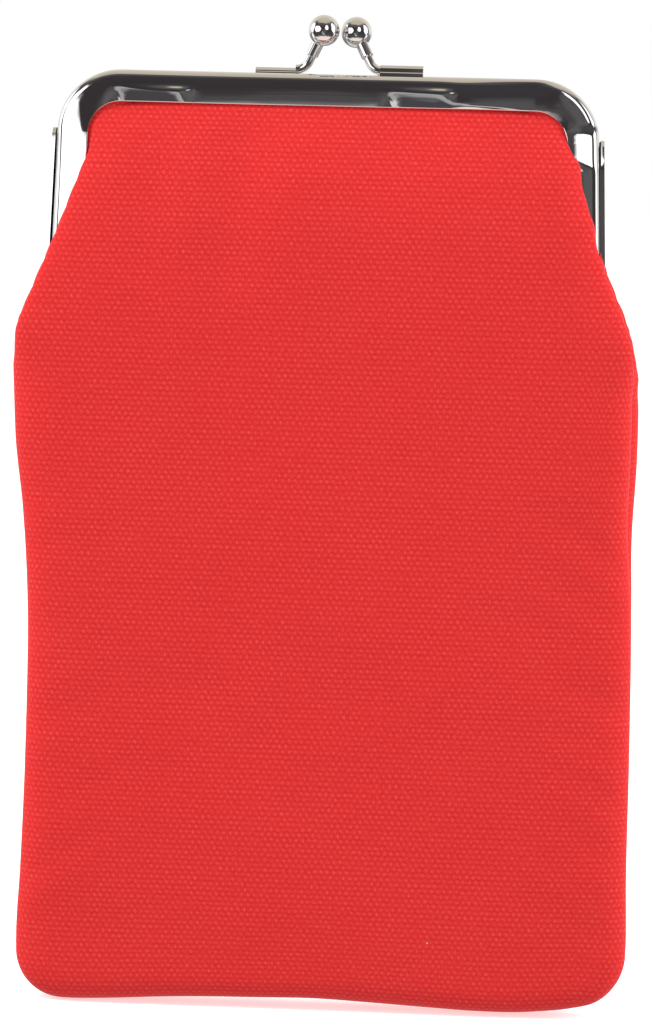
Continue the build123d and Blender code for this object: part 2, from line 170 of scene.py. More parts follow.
def opening_half(z):
    """Half width of the gap inside the face flange at height z, with its rounded top corners."""
    half = LEG_HALF - (z - LEG_FOOT) * LEG_SPLAY - FACE_HEIGHT
    over = np.clip(z - (OPENING_TOP - OPENING_CORNER), 0.0, OPENING_CORNER)
    return half - OPENING_CORNER + np.sqrt(OPENING_CORNER**2 - over**2)


def edge_x(z, side):
    """How far the pouch reaches to one side (-1 left, +1 right) at height z."""
    edge = side * smooth_curve(LEFT_EDGE if side < 0 else RIGHT_EDGE, z)
    return edge - BOTTOM_CORNER[side] * (1 - round_over(z, BOTTOM_CORNER[side], 2.0))


# --- one cloth layer ----------------------------------------------------------------------------
# Half of a sewn-up section: shares of its width and depth, from the middle of the front to the seam.
CLOSED_SHAPE = (
    (0.0, 1.0), (0.35, 1.0), (0.66, 0.985), (0.86, 0.93), (0.965, 0.78), (1.002, 0.52), (1.008, 0.32),
    (1.004, 0.14),
)
SEAM_TUCK = 0.7  # the seam is drawn in this far from the section's widest point
LAP = {-1: 0.0, 1: 1.4}  # how far the lap's front is set back from its edge, left and right
LAP_CLEARANCE = 0.75  # between the face of a leg and the canvas lapped over it
GAP_CLEARANCE = 0.6  # between the canvas and the inner edge of a leg
SLOT_REACH = 1.6  # how far the cloth's edge reaches into a channel


def held_back(controls, z, trim):
    """Where the side is open above the seam, a layer's edge stops a trim short of the canvas's edge."""
    above_seam = smoothstep(SEAM_TOP - 5.0, SEAM_TOP, z)
    in_channel = smoothstep(CHANNEL_END - 2.0, CHANNEL_END + 3.0, z)
    open_side = above_seam * (1 - in_channel)
    return controls[:-3] + [(x - trim * open_side, y) for x, y in controls[-3:]]


def section_controls(z, inset, side, trim):
    """Control points (x, y) of half a level section, from the middle of the front to its edge."""
    width = edge_x(z, side) - inset
    depth = smooth_curve(HALF_DEPTH, z) * round_over(z, BOTTOM_ROUND, 3.0)
    depth = depth - inset * smoothstep(0.0, 3.0, z)
    swell = smoothstep(0.0, 5.0, depth)  # the flat bottom edge has no overhang to fold back over itself
    closed = [(width * min(a, 1 + (a - 1) * swell), -depth * b) for a, b in CLOSED_SHAPE]
    closed.append((width - SEAM_TUCK * swell, 0.0))
    if z <= SEAM_TOP:
        return held_back(closed, z, trim)
    gap = opening_half(min(z, OPENING_TOP))
    tucked_in = smoothstep(*TUCKS_IN[side], z)  # under the top bar the cloth keeps inside the gap
    width += (min(width, gap - 0.5 - inset) - width) * tucked_in
    slot_y = SLOT_Y - inset
    inner_edge = gap - GAP_CLEARANCE - inset
    over = smoothstep(-0.8, 3.0, width + inset - gap) * (1 - tucked_in)  # how far the cloth laps over the leg
    room = smoothstep(7.4, 9.2, depth + inset)  # where the lap is deep enough for all three layers
    deeper = inset * (0.3 + 0.9 * room)  # inner layers keep inside the lap
    front = min(FACE_Y + LAP_CLEARANCE + deeper, depth - CANVAS)
    side_y = min(SLOT_Y + (depth - SLOT_Y) * 0.42 + 0.6 * inset * over * room, depth)
    lap = LAP[side] * over
    neck = [
        (0, -depth),
        (0.35 * width, -depth),
        (0.66 * width, -depth * 0.985),
        (0.9 * width - lap, -depth * 0.93),
        (0.985 * width - lap, -depth * 0.80),
        (width - 0.5 * lap, -side_y),
        (inner_edge + (width + lap - gap) * 0.4 * over, -(slot_y + over * (front - slot_y))),
        (inner_edge, -(slot_y + 0.1)),
        (gap + SLOT_REACH, -slot_y),
    ]
    t = smoothstep(SEAM_TOP, CHANNEL_END + 0.5, z)
    blended = [(a[0] + (b[0] - a[0]) * t, a[1] + (b[1] - a[1]) * t) for a, b in zip(closed, neck)]
    return held_back(blended, z, trim)


def spline_basis(count, samples):
    """Weights of a clamped cubic B-spline's control points at evenly spaced parameters."""
    knots = np.concatenate([np.zeros(3), np.linspace(0, 1, count - 2), np.ones(3)])
    t = np.linspace(0, 1 - 1e-9, samples)
    basis = [((t >= knots[i]) & (t < knots[i + 1])).astype(float) for i in range(len(knots) - 1)]
    for degree in (1, 2, 3):
        raised = []
        for i in range(len(basis) - 1):
            left = knots[i + degree] - knots[i]
            right = knots[i + degree + 1] - knots[i + 1]
            value = np.zeros_like(t)
            if left > 0:
                value += (t - knots[i]) / left * basis[i]
            if right > 0:
                value += (knots[i + degree + 1] - t) / right * basis[i + 1]
            raised.append(value)
        basis = raised
    return np.array(basis).T


def section(z, inset, trim, columns, basis):
    """Points across a whole level section, left edge to right edge, and their lengths from the middle."""
    points, lengths = [], []
    for side in (-1, 1):
        curve = basis @ np.array(section_controls(z, inset, side, trim))
        run = np.concatenate([[0], np.cumsum(np.linalg.norm(np.diff(curve, axis=0), axis=1))])
        share = np.linspace(0, run[-1], columns)
        half = np.stack([np.interp(share, run, curve[:, k]) for k in (0, 1)], axis=1) * (side, 1)
        points.append(half[::side])
        lengths.append(side * share[::side])
    return np.vstack([points[0], points[1][1:]]), np.concatenate([lengths[0], lengths[1][1:]])


def row_heights(step):
    """Heights of the mesh rows: close together round the bottom and under the top bar."""
    rounded = max(BOTTOM_CORNER.values())
    bottom = rounded * np.linspace(0, 1, BOTTOM_ROWS) ** 2.2
    straight_top = OPENING_TOP - OPENING_CORNER
    straight = np.linspace(rounded, straight_top, int((straight_top - rounded) / step))
    top = straight_top + OPENING_CORNER * np.sin(np.linspace(0, math.pi / 2, TOP_ROWS))
    return np.concatenate([bottom, straight[1:], top[1:]])


def layer_grid(inset, trim=0.0, step=COLUMN_STEP):
    """Points (rows, columns, 3) and cloth coordinates (rows, columns, 2) of the front of one layer."""
    columns = int(EDGE_LINE / step)
    basis = spline_basis(CONTROL_POINTS, CURVE_SAMPLES)
    heights = row_heights(step)
    points, cloth = [], []
    for z in heights:
        flat, along = section(z, inset, trim, columns, basis)
        rise = inset * max(1 - z / INNER_RISE_END, 0.0)
        points.append(np.column_stack([flat, np.full(len(flat), z + rise)]))
        cloth.append(along)
    for lift in CHANNEL_LIFTS:
        points.append(points[len(heights) - 1] + (0, 0, lift))
        cloth.append(cloth[-1])
    points = np.array(points)
    middle = points[:, points.shape[1] // 2]
    down = np.concatenate([[0], np.cumsum(np.linalg.norm(np.diff(middle, axis=0), axis=1))])
    down = down[-1] - down
    coordinates = np.stack([np.array(cloth), np.repeat(down[:, None], points.shape[1], axis=1)], axis=2)
    return points, coordinates


def lift_bottom(points):
    """Raise the bottom edge off the floor where it is not resting on it."""
    x, z = points[..., 0], points[..., 2]
    points[..., 2] = z + smooth_curve(BOTTOM_EDGE, x) * np.clip(1 - z / LIFT_END, 0, 1) ** 2


def roll_right_side(points):
    """Below the hinge the right edge is rolled a little, so the seam shows in front."""
    x, y, z = (points[..., k] for k in range(3))
    angle = SIDE_ROLL * smoothstep(*ROLL_STARTS, z) * (1 - smoothstep(*ROLL_ENDS, z))
    centre = smooth_curve(RIGHT_EDGE, z) - ROLL_REACH
    angle = angle * smoothstep(-3.0, 4.0, x - centre)
    dx, dy = x - centre, y
    points[..., 0] = centre + dx * np.cos(angle) + dy * np.sin(angle)
    points[..., 1] = dy * np.cos(angle) - dx * np.sin(angle)


def soft_noise(points, scale, seed):
    """Smooth noise at every point of a grid."""
    flat = points.reshape(-1, 3)
    values = [noise.noise(Vector(p) / scale + Vector((seed, seed * 0.7, -seed))) for p in flat]
    return np.array(values).reshape(points.shape[:-1])


def folds_under_bar(points):
    """How far the hanging folds stand out at each point."""
    x, z = points[..., 0], points[..., 2]
    below = OPENING_TOP - z
    total = np.zeros_like(x)
    for at, lean, depth, half, length in FOLDS:
        spread = half * (1 + 0.5 * below / length)
        shape = np.exp(-(((x - at - lean * below) / spread) ** 2))
        fading = np.exp(-((np.clip(below, 0, None) / length) ** 2))
        total += depth * shape * smoothstep(0.5, 7.0, below) * fading
    return total


def cloth_object(name, points, coordinates, thickness):
    """A mesh from a grid of world points, given its thickness inwards."""
    rows, columns = points.shape[:2]
    index = np.arange(rows * columns).reshape(rows, columns)
    quads = np.stack([index[:-1, :-1], index[:-1, 1:], index[1:, 1:], index[1:, :-1]], axis=-1).reshape(-1, 4)
    if points[..., 1].mean() > 0:
        quads = quads[:, ::-1]
    mesh = bpy.data.meshes.new(name)
    mesh.from_pydata((points.reshape(-1, 3) * MM).tolist(), [], quads.tolist())
    layer = mesh.uv_layers.new(name="cloth_mm")
    flat = coordinates.reshape(-1, 2)
    loop_vertices = np.zeros(len(mesh.loops), int)
    mesh.loops.foreach_get("vertex_index", loop_vertices)
    layer.data.foreach_set("uv", flat[loop_vertices].ravel())
    mesh.polygons.foreach_set("use_smooth", np.ones(len(quads), bool))
    piece = bpy.data.objects.new(name, mesh)
    bpy.context.scene.collection.objects.link(piece)
    shell = piece.modifiers.new("thickness", "SOLIDIFY")
    shell.thickness = thickness * MM
    shell.offset = -1.0
    bpy.context.view_layer.objects.active = piece
    bpy.ops.object.modifier_apply(modifier=shell.name)
    return piece


def canvas(name, side):
    """The outer cloth of the front (side -1) or back (side +1), with its folds, hollows and puckers."""
    points, coordinates = layer_grid(0.0)
    lift_bottom(points)
    x, y, z = (points[..., k].copy() for k in range(3))
    facing = np.clip(-y / FRONT_FADE, 0, 1)
    body = smoothstep(0.0, 14.0, z) * (1 - smoothstep(150.0, 168.0, z)) * facing
    seed = 3.0 + side
    billows = BILLOW * body * soft_noise(points, BILLOW_SIZE, seed)
    ripples = RIPPLE * body * soft_noise(points, RIPPLE_SIZE, seed + 9)
    points[..., 1] -= billows + ripples
    points[..., 1] -= folds_under_bar(points) * facing
    near_edge = np.maximum(smoothstep(30.0, 54.0, x), smoothstep(30.0, 54.0, -x))
    slanted = points * (0.35, 0.0, 1.0) + (0.0, 0.0, 0.5) * np.abs(points[..., :1])
    puckers = soft_noise(slanted, PUCKER_SIZE, seed + 4.0)
    puckers = puckers * smoothstep(4.0, 20.0, z) * (1 - smoothstep(96.0, 114.0, z))
    points[..., 1] -= PUCKER * puckers * near_edge * facing
    points[..., 1] *= -side
    roll_right_side(points)
    return cloth_object(name, points, coordinates, CANVAS)


def inner_layer(name, side, inset, trim, thickness):
    """The fleece or the lining, which follows the canvas's folds."""
    points, coordinates = layer_grid(inset, trim, 1.5 * COLUMN_STEP)
    lift_bottom(points)
    points[..., 1] -= folds_under_bar(points) * np.clip(-points[..., 1] / FRONT_FADE, 0, 1)
    points[..., 1] *= -side
    roll_right_side(points)
    return cloth_object(name, points, coordinates, thickness)


def seam_thread(name, inset, radius):
    """Running stitches down one side of the pouch, along its bottom and up the other side."""
    heights = np.linspace(SEAM_TOP, 0.0, SEAM_SAMPLES)
    left = np.stack([-edge_x(heights, -1), heights], axis=1)
    right = np.stack([edge_x(heights, 1), heights], axis=1)[::-1]
    outline = np.vstack([left, right])
    run = np.concatenate([[0], np.cumsum(np.linalg.norm(np.diff(outline, axis=0), axis=1))])
    count = int(run[-1] / STITCH) * STITCH_POINTS
    along = np.linspace(0, run[-1], count)
    path = np.stack([np.interp(along, run, outline[:, k]) for k in (0, 1)], axis=1)
    way = np.gradient(path, axis=0)
    way /= np.linalg.norm(way, axis=1, keepdims=True)
    path += np.stack([-way[:, 1], way[:, 0]], axis=1) * (inset + STITCH_SETBACK)
    across = STITCH_REACH * np.sin(2 * math.pi * along / STITCH)
    points = np.column_stack([path[:, 0], across, path[:, 1]])
    lift_bottom(points)
    roll_right_side(points)
    data = bpy.data.curves.new(name, "CURVE")
    data.dimensions = "3D"
    data.bevel_depth = radius * MM
    data.bevel_resolution = 1
    data.use_fill_caps = True
    line = data.splines.new("POLY")
    line.points.add(count - 1)
    line.points.foreach_set("co", np.column_stack([points * MM, np.ones(count)]).ravel())
    thread = bpy.data.objects.new(name, data)
    bpy.context.scene.collection.objects.link(thread)
    return thread


# --- node helpers -------------------------------------------------------------------------------
def new_material(name):
    material = bpy.data.materials.new(name)
    material.use_nodes = True
    nodes = material.node_tree.nodes
    shader = next(n for n in nodes if n.type == "BSDF_PRINCIPLED")
    return material, shader


def math_node(tree, operation, first, second=None, third=None):
    node = tree.nodes.new("ShaderNodeMath")
    node.operation = operation
    for socket, value in zip(node.inputs, (first, second, third)):
        if value is None:
            continue
        if isinstance(value, (int, float)):
            socket.default_value = value
        else:
            tree.links.new(value, socket)
    return node.outputs[0]


def noise_node(tree, vector, scale, detail=3.0, roughness=0.5):
    node = tree.nodes.new("ShaderNodeTexNoise")
    node.inputs["Scale"].default_value = scale
    node.inputs["Detail"].default_value = detail
    node.inputs["Roughness"].default_value = roughness
    tree.links.new(vector, node.inputs["Vector"])
    return node.outputs["Fac"]


def colour_mix(tree, factor, first, second, blend="MIX"):
    node = tree.nodes.new("ShaderNodeMix")
    node.data_type = "RGBA"
    node.blend_type = blend
    sockets = [s for s in node.inputs if s.enabled]
    for socket, value in zip(sockets, (factor, first, second)):
        if isinstance(value, bpy.types.NodeSocket):
            tree.links.new(value, socket)
        else:
            socket.default_value = value
    return next(s for s in node.outputs if s.enabled)


def fill_ramp(ramp, stops):
    """Set a colour ramp's stops, each (place, (red, green, blue))."""
    elements = ramp.color_ramp.elements
    while len(elements) < len(stops):
        elements.new(0.5)
    for element, (place, colour) in zip(elements, stops):
        element.position = place
        element.color = colour + (1,)


def bump(tree, shader, height, distance, strength=1.0):
    node = tree.nodes.new("ShaderNodeBump")
    node.inputs["Distance"].default_value = distance
    node.inputs["Strength"].default_value = strength
    tree.links.new(height, node.inputs["Height"])
    tree.links.new(node.outputs["Normal"], shader.inputs["Normal"])


# --- materials ----------------------------------------------------------------------------------
WARP_PITCH = 0.592
WEFT_PITCH = 0.977
WEAVE_WANDER = 1.9  # how far the canvas's threads stray, in radians of the weave
YARN_HEIGHT = 3.1  # the yarn's own unevenness, beside the crowns of the weave
LINING_WARP, LINING_WEFT = 0.42, 0.46


def map_range(tree, value, low, high, to_low=0.0, to_high=1.0):
    """A smooth step of a value from one range to another."""
    node = tree.nodes.new("ShaderNodeMapRange")
    node.interpolation_type = "SMOOTHSTEP"
    for socket, number in zip(node.inputs[1:5], (low, high, to_low, to_high)):
        socket.default_value = number
    tree.links.new(value, node.inputs["Value"])
    return node.outputs["Result"]


def scaled(tree, vector, by):
    node = tree.nodes.new("ShaderNodeVectorMath")
    node.operation = "MULTIPLY"
    node.inputs[1].default_value = by
    tree.links.new(vector, node.inputs[0])
    return node.outputs[0]


def cloth_place(tree):
    uv = tree.nodes.new("ShaderNodeUVMap")
    uv.uv_map = "cloth_mm"
    return uv.outputs["UV"]


def woven_height(tree, cloth, warp_pitch, weft_pitch, wander):
    """Crowns of a plain weave and the grooves between its rows, about -1 to 1, on the cloth's own grid."""
    uneven = noise_node(tree, cloth, 0.35, 4.0)
    uneven = math_node(tree, "MULTIPLY", math_node(tree, "SUBTRACT", uneven, 0.5), wander)
    split = tree.nodes.new("ShaderNodeSeparateXYZ")
    tree.links.new(cloth, split.inputs[0])
    across = math_node(tree, "MULTIPLY", split.outputs["X"], math.pi / warp_pitch)
    down = math_node(tree, "MULTIPLY", split.outputs["Y"], math.pi / weft_pitch)
    across = math_node(tree, "ADD", across, uneven)
    falling = math_node(tree, "COSINE", math_node(tree, "SUBTRACT", across, down))
    rising = math_node(tree, "COSINE", math_node(tree, "ADD", across, down))
    crowns = math_node(tree, "MULTIPLY_ADD", falling, 0.30, 0.5)
    crowns = math_node(tree, "POWER", math_node(tree, "MULTIPLY_ADD", rising, -0.20, crowns), 2.0)
    bend = math_node(tree, "MULTIPLY", math_node(tree, "SINE", across), math_node(tree, "COSINE", down))
    groove = math_node(tree, "SINE", math_node(tree, "MULTIPLY_ADD", bend, 0.45, down))
    rows = math_node(tree, "POWER", math_node(tree, "ABSOLUTE", groove), 0.6)
    rows = math_node(tree, "MULTIPLY_ADD", rows, 1.1, -1.04)
    return math_node(tree, "MULTIPLY_ADD", crowns, 0.72, rows)


def lint(tree, cloth, spacing, size, share):
    """Sparse specks on the cloth: 1 inside a speck, 0 elsewhere."""
    node = tree.nodes.new("ShaderNodeTexVoronoi")
    node.inputs["Scale"].default_value = 1 / spacing
    tree.links.new(cloth, node.inputs["Vector"])
    near = map_range(tree, node.outputs["Distance"], 0.6 * size / spacing, size / spacing, 1.0, 0.0)
    split = tree.nodes.new("ShaderNodeSeparateColor")
    tree.links.new(node.outputs["Color"], split.inputs[0])
    kept = math_node(tree, "LESS_THAN", split.outputs[0], share)
    return math_node(tree, "MULTIPLY", near, kept)


def canvas_material():
    material, shader = new_material("red_canvas")
    tree = material.node_tree
    cloth = cloth_place(tree)
    crowns = woven_height(tree, cloth, WARP_PITCH, WEFT_PITCH, WEAVE_WANDER)
    yarn = noise_node(tree, cloth, 1.5, 4.0, 0.7)
    streaks = noise_node(tree, scaled(tree, cloth, (0.16, 1.0, 1.0)), 1.0, 2.0)
    broad = noise_node(tree, cloth, 0.035, 3.0)
    height = math_node(tree, "MULTIPLY_ADD", math_node(tree, "SUBTRACT", yarn, 0.5), YARN_HEIGHT, crowns)
    # Colour follows the weave's height: lighter crowns are a painted highlight and darker grooves between the
    # rows are painted shade. The row streaks and broad mottling are the canvas's own random tone.
    tone_with_painted_weave_light = math_node(tree, "MULTIPLY_ADD", height, 0.36, 0.45)
    tone_with_painted_weave_light = math_node(tree, "MULTIPLY_ADD", math_node(tree, "SUBTRACT", streaks, 0.5), 0.16, tone_with_painted_weave_light)
    tone_with_painted_weave_light = math_node(tree, "MULTIPLY_ADD", math_node(tree, "SUBTRACT", broad, 0.5), 0.12, tone_with_painted_weave_light)
    # The ramp runs from painted groove shade, through the canvas's own red, to a pinkish painted highlight on
    # the crowns.
    ramp = tree.nodes.new("ShaderNodeValToRGB")
    stops = (
        (0.0, (0.560, 0.0150, 0.0150)), (0.35, (0.655, 0.0260, 0.0260)), (0.60, (0.700, 0.0360, 0.0355)),
        (1.0, (0.790, 0.0920, 0.0900)),
    )
    fill_ramp(ramp, stops)
    tree.links.new(tone_with_painted_weave_light, ramp.inputs[0])
    specks = lint(tree, cloth, 17.0, 0.26, 0.35)
    colour = colour_mix(tree, specks, ramp.outputs[0], (0.78, 0.34, 0.26, 1))
    dark_specks = lint(tree, scaled(tree, cloth, (1.1, 0.9, 1.0)), 41.0, 0.3, 0.4)
    colour = colour_mix(tree, dark_specks, colour, (0.25, 0.01, 0.012, 1))
    tree.links.new(colour, shader.inputs["Base Color"])
    shader.inputs["Roughness"].default_value = 0.85
    shader.inputs["Specular IOR Level"].default_value = 0.12
    shader.inputs["Sheen Weight"].default_value = 0.22
    shader.inputs["Sheen Roughness"].default_value = 0.35
    shader.inputs["Sheen Tint"].default_value = (1.0, 0.60, 0.55, 1)
    bump(tree, shader, height, 0.02 * MM, 0.9)
    return material


def plain_cloth_material(name, colour, warp_pitch, weft_pitch):
    material, shader = new_material(name)
    tree = material.node_tree
    crowns = woven_height(tree, cloth_place(tree), warp_pitch, weft_pitch, 1.0)
    # Colour follows the weave's crowns: the darker copy of the lining colour in the grooves is painted shade,
    # and the lighter crowns are a painted highlight.
    tone_with_painted_weave_light = math_node(tree, "MULTIPLY_ADD", crowns, 0.3, 0.6)
    dark = tuple(c * 0.72 for c in colour) + (1,)
    tree.links.new(colour_mix(tree, tone_with_painted_weave_light, dark, tuple(colour) + (1,)), shader.inputs["Base Color"])
    shader.inputs["Roughness"].default_value = 0.9
    shader.inputs["Sheen Weight"].default_value = 0.1
    bump(tree, shader, crowns, 0.04 * MM, 0.6)
    return material


def fleece_material():
    material, shader = new_material("white_fleece")
    tree = material.node_tree
    place = tree.nodes.new("ShaderNodeTexCoord").outputs["Object"]
    fuzz = noise_node(tree, place, 900.0, 5.0, 0.7)
    colour = colour_mix(tree, fuzz, (0.74, 0.72, 0.68, 1), (0.93, 0.92, 0.9, 1))
    tree.links.new(colour, shader.inputs["Base Color"])
    shader.inputs["Roughness"].default_value = 1.0
    bump(tree, shader, fuzz, 0.3 * MM, 0.8)
    return material


def strand_material(name, dark, light, scale):
    """Twisted fibres: thread or paper cord."""
    material, shader = new_material(name)
    tree = material.node_tree
    place = tree.nodes.new("ShaderNodeTexCoord").outputs["Object"]
    fibres = noise_node(tree, scaled(tree, place, (1.0, 0.4, 1.6)), scale, 4.0, 0.65)
    tree.links.new(colour_mix(tree, fibres, dark + (1,), light + (1,)), shader.inputs["Base Color"])
    shader.inputs["Roughness"].default_value = 0.8
    bump(tree, shader, fibres, 0.08 * MM, 0.7)
    return material


PATCH_EDGE = 6.0  # the higher, the more sharply a patch ends


def tilt(tree, place, centre, reach, slope):
    """A soft dent or swell in sheet metal, in millimetres: a sloping patch that fades out at its edges."""
    split = tree.nodes.new("ShaderNodeSeparateXYZ")
    tree.links.new(place, split.inputs[0])
    x = math_node(tree, "SUBTRACT", split.outputs["X"], centre[0])
    z = math_node(tree, "SUBTRACT", split.outputs["Z"], centre[1])
    away = math_node(tree, "ABSOLUTE", math_node(tree, "DIVIDE", x, reach[0]))
    away = math_node(tree, "POWER", away, PATCH_EDGE)
    up = math_node(tree, "ABSOLUTE", math_node(tree, "DIVIDE", z, reach[1]))
    up = math_node(tree, "POWER", up, PATCH_EDGE)
    mask = math_node(tree, "EXPONENT", math_node(tree, "MULTIPLY", math_node(tree, "ADD", away, up), -1.0))
    height = math_node(tree, "MULTIPLY", x, slope[0])
    height = math_node(tree, "MULTIPLY_ADD", z, slope[1], height)
    return math_node(tree, "MULTIPLY", height, mask)


# Where the frame's sheet isn't quite true: middle (x, z), reach and slope of each patch.
FRAME_PATCHES = (
    ((-50.0, 142.5), (9.5, 24.5), (0.31, -0.05)),
    ((47.5, 163.0), (6.0, 3.8), (-0.17, -0.12)),
    ((17.0, 171.0), (6.0, 2.2), (0.05, 0.20)),
    ((32.0, 172.5), (9.0, 2.6), (-0.04, -0.12)),
    ((-33.0, 170.5), (7.0, 2.0), (0.06, 0.16)),
)


def nickel_material(name, patches):
    material, shader = new_material(name)
    tree = material.node_tree
    place = tree.nodes.new("ShaderNodeTexCoord").outputs["Object"]
    millimetres = scaled(tree, place, (1 / MM,) * 3)
    swell = noise_node(tree, millimetres, 0.045, 1.0, 0.4)
    smudge = noise_node(tree, millimetres, 0.32, 5.0, 0.65)
    roughness = math_node(tree, "MULTIPLY_ADD", smudge, 0.06, 0.015)
    tree.links.new(roughness, shader.inputs["Roughness"])
    colour = colour_mix(tree, smudge, (0.80, 0.79, 0.77, 1), (0.88, 0.87, 0.86, 1))
    tree.links.new(colour, shader.inputs["Base Color"])
    shader.inputs["Metallic"].default_value = 1.0
    height = math_node(tree, "MULTIPLY", swell, 0.5)
    for patch in patches:
        height = math_node(tree, "ADD", height, tilt(tree, millimetres, *patch))
    bump(tree, shader, height, MM)
    return material


# --- putting it together ------------------------------------------------------------------------
def dress(piece, material):
    piece.data.materials.clear()
    piece.data.materials.append(material)


def dress_cad_nodes():
    frame_metal = nickel_material("pressed_nickel", FRAME_PATCHES)
    clasp_metal = nickel_material("polished_nickel", ())
    kraft = strand_material("kraft_paper", (0.36, 0.24, 0.13), (0.62, 0.46, 0.29), 700.0)
    for name, node in frame["nodes"].items():
        if "channel" in name:
            dress(node, frame_metal)
        elif "clasp" in name or "rivet" in name:
            dress(node, clasp_metal)
        elif "paper_cord" in name:
            dress(node, kraft)
        else:
            continue
        node.data.polygons.foreach_set("use_smooth", [True] * len(node.data.polygons))


def make_cloth():
    red = canvas_material()
    white = fleece_material()
    ecru = plain_cloth_material("ecru_lining", (0.72, 0.63, 0.49), LINING_WARP, LINING_WEFT)
    for side_name, side in (("front", -1), ("back", 1)):
        pieces = (
            (canvas(f"{side_name}_canvas", side), "canvas", red),
            (inner_layer(f"{side_name}_fleece", side, FLEECE_INSET, FLEECE_TRIM, FLEECE), "fleece", white),
            (inner_layer(f"{side_name}_lining", side, LINING_INSET, LINING_TRIM, LINING), "lining", ecru),
        )
        for (piece, slot, material), trim in zip(pieces, (0.0, FLEECE_INSET, LINING_INSET)):
            dress(piece, material)
            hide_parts(f"{side_name}_{slot}_upper", f"{side_name}_{slot}_lower")
            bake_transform(piece)


def make_threads():
    """The stitching: its name, node, slot, inset, radius, dark colour and light colour."""
    red = ((0.45, 0.02, 0.02), (0.75, 0.05, 0.05))
    ecru = ((0.5, 0.43, 0.33), (0.76, 0.68, 0.54))
    threads = (
        ("canvas_stitching", "canvas_seam_thread", "red_thread", 0.0, 0.16, *red),
        ("lining_stitching", "lining_seam_thread", "lining_thread", LINING_INSET, 0.12, *ecru),
    )
    for name, node, slot, inset, radius, dark, light in threads:
        thread = seam_thread(name, inset, radius)
        dress(thread, strand_material(slot, dark, light, 2500.0))
        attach(thread, "pouch")
        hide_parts(node)


# --- stage, light and camera --------------------------------------------------------------------
def make_stage():
    """A pale floor, in metres, that neither lights the purse nor is mirrored in it."""
    bpy.ops.mesh.primitive_circle_add(vertices=96, radius=6.0, fill_type="NGON")
    floor = bpy.context.object
    floor.name = "floor"
    material, shader = new_material("pale_floor")
    shader.inputs["Base Color"].default_value = (0.80, 0.80, 0.80, 1)
    shader.inputs["Roughness"].default_value = 0.9
    shader.inputs["Emission Color"].default_value = (1.0, 1.0, 1.0, 1)
    shader.inputs["Emission Strength"].default_value = 0.55
    dress(floor, material)
    floor.visible_glossy = False
    floor.visible_diffuse = False


def area_light(name, place, target, size, power, colour=(1, 1, 1)):
    """A round lamp that isn't mirrored in the metal. Place, target and size are in metres."""
    data = bpy.data.lights.new(name, "AREA")
    data.shape = "DISK"
    data.size = size
    data.energy = power
    data.color = colour
    light = bpy.data.objects.new(name, data)
    light.location = place
    light.rotation_euler = (Vector(target) - Vector(place)).to_track_quat("-Z", "Y").to_euler()
    light.visible_glossy = False
    bpy.context.scene.collection.objects.link(light)


# The room that the metal reflects, in degrees: azimuth 0 is straight ahead of the front, right is positive.
ROOM_BANDS = (
    (-90.0, (0.98, 0.95, 0.92)), (-48.0, (0.95, 0.87, 0.79)), (-37.0, (0.075, 0.072, 0.085)),
    (-16.0, (0.062, 0.058, 0.060)), (4.0, (0.040, 0.033, 0.035)), (30.0, (0.050, 0.048, 0.055)),
    (48.0, (0.12, 0.11, 0.11)), (58.0, (0.55, 0.49, 0.40)), (90.0, (0.62, 0.56, 0.47)),
)
BACK_BANDS = (
    (-90.0, (0.95, 0.91, 0.87)), (-46.0, (0.90, 0.86, 0.82)), (-36.0, (0.16, 0.16, 0.18)),
    (-14.0, (0.28, 0.27, 0.30)), (-5.0, (0.78, 0.76, 0.82)), (3.0, (0.95, 0.93, 0.90)),
    (30.0, (0.80, 0.76, 0.68)), (90.0, (0.60, 0.54, 0.45)),
)
# Lamps and pale cards: azimuth, elevation, half width, half height, softness, colour.
ROOM_CARDS = (
    (-6.5, -18.0, 4.5, 9.0, 0.50, (0.42, 0.41, 0.42)),
    (2.0, -26.0, 9.0, 4.0, 0.25, (0.75, 0.74, 0.72)),
    (7.0, -4.0, 9.0, 14.0, 0.6, (0.115, 0.113, 0.115)),
    (-94.0, 15.0, 17.0, 27.0, 0.15, (1.6, 1.6, 1.65)),
    (-46.0, 10.0, 24.0, 20.0, 0.12, (1.7, 1.7, 1.72)),
    (25.0, 20.0, 13.0, 19.0, 0.12, (1.6, 1.6, 1.62)),
    (80.0, 15.0, 18.0, 28.0, 0.15, (1.6, 1.6, 1.62)),
)


def banded(tree, elevation, bands):
    ramp = tree.nodes.new("ShaderNodeValToRGB")
    fill_ramp(ramp, [((angle + 90) / 180, colour) for angle, colour in bands])
    tree.links.new(math_node(tree, "MULTIPLY_ADD", elevation, 1 / 180, 0.5), ramp.inputs[0])
    return ramp.outputs[0]


